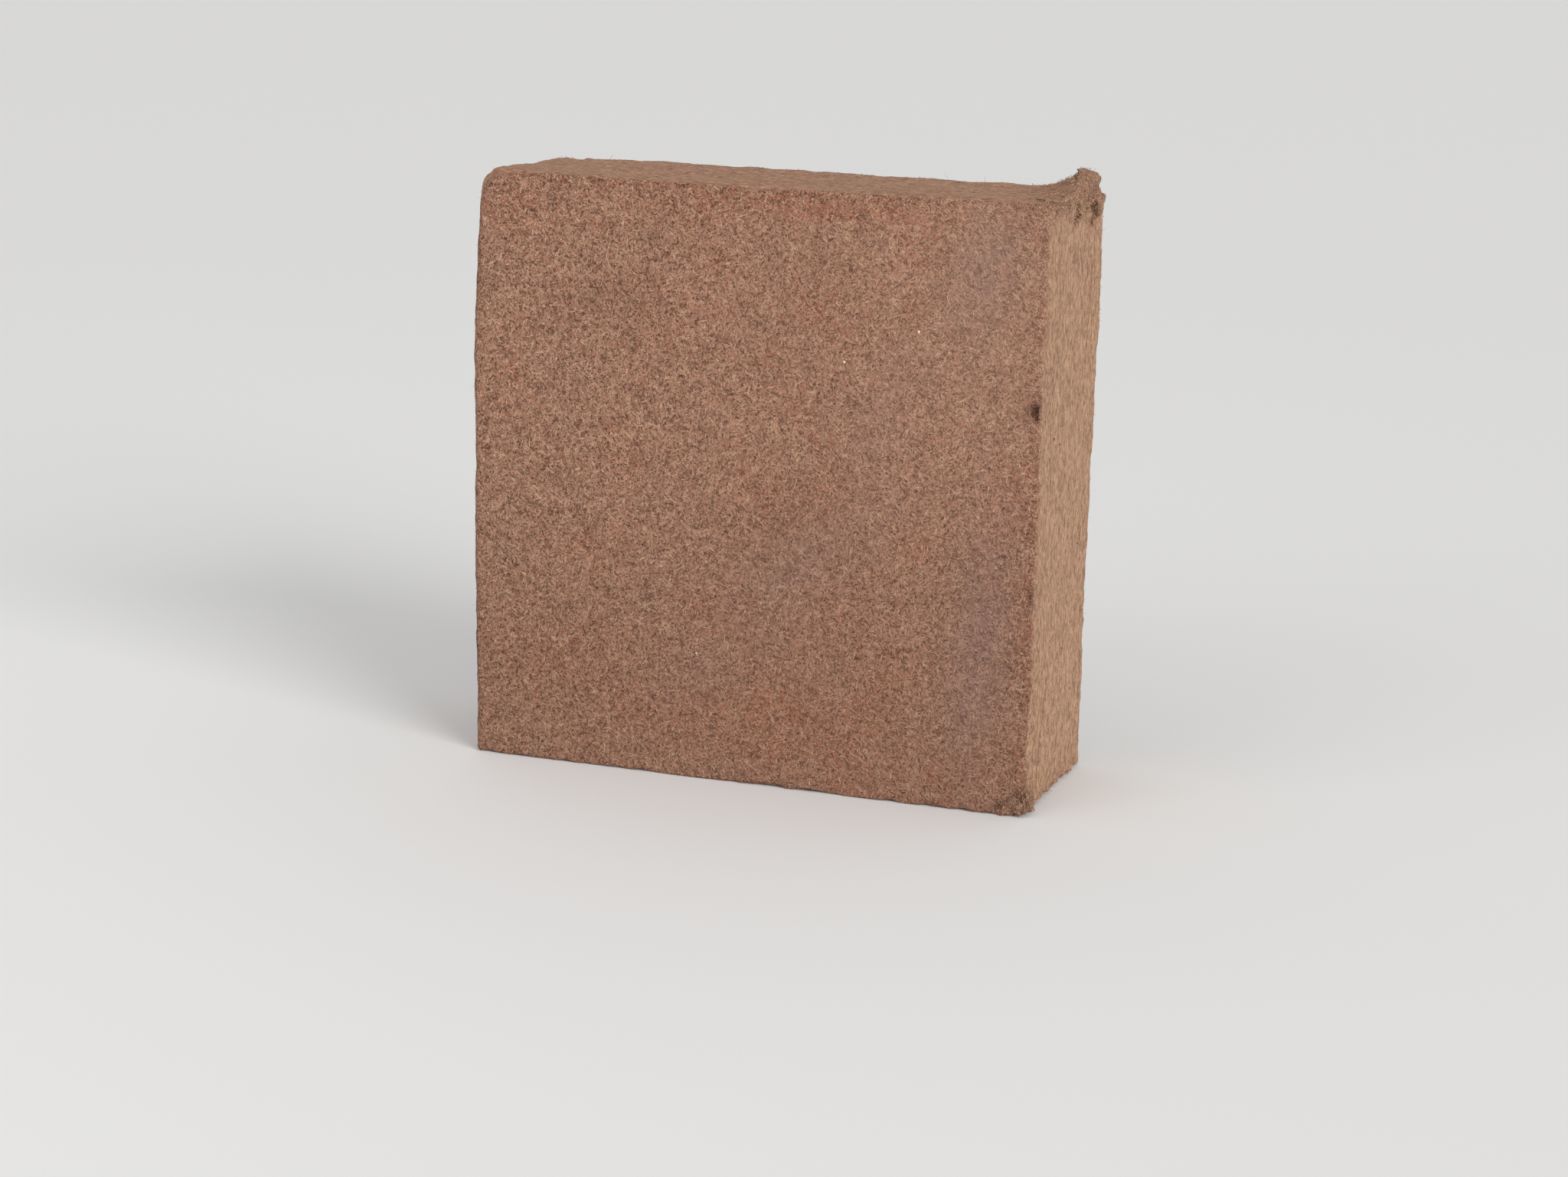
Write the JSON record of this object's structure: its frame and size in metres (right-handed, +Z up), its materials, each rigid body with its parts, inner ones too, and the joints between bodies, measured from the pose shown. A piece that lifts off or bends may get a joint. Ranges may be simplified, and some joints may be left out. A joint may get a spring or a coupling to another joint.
{
  "type": "coconut coir bale",
  "caption": "Square slab of pressed coconut coir standing on a narrow side, with crumbled edges, a torn lip at one top corner and fine fissures along its layers.",
  "frame": {"origin": "on the ground, under the middle of the bale's box", "axes": "+Z up, Y is the pressing direction through the slab with the front big face towards -Y, X runs across the big faces, and the torn lip is at +X at the back of the top"},
  "size_m": [0.306, 0.1142, 0.3156],
  "materials": {
    "coir": "rough, matt, speckled reddish brown"
  },
  "bodies": {
    "root": {"bale": "coir"}
  },
  "joints": []
}
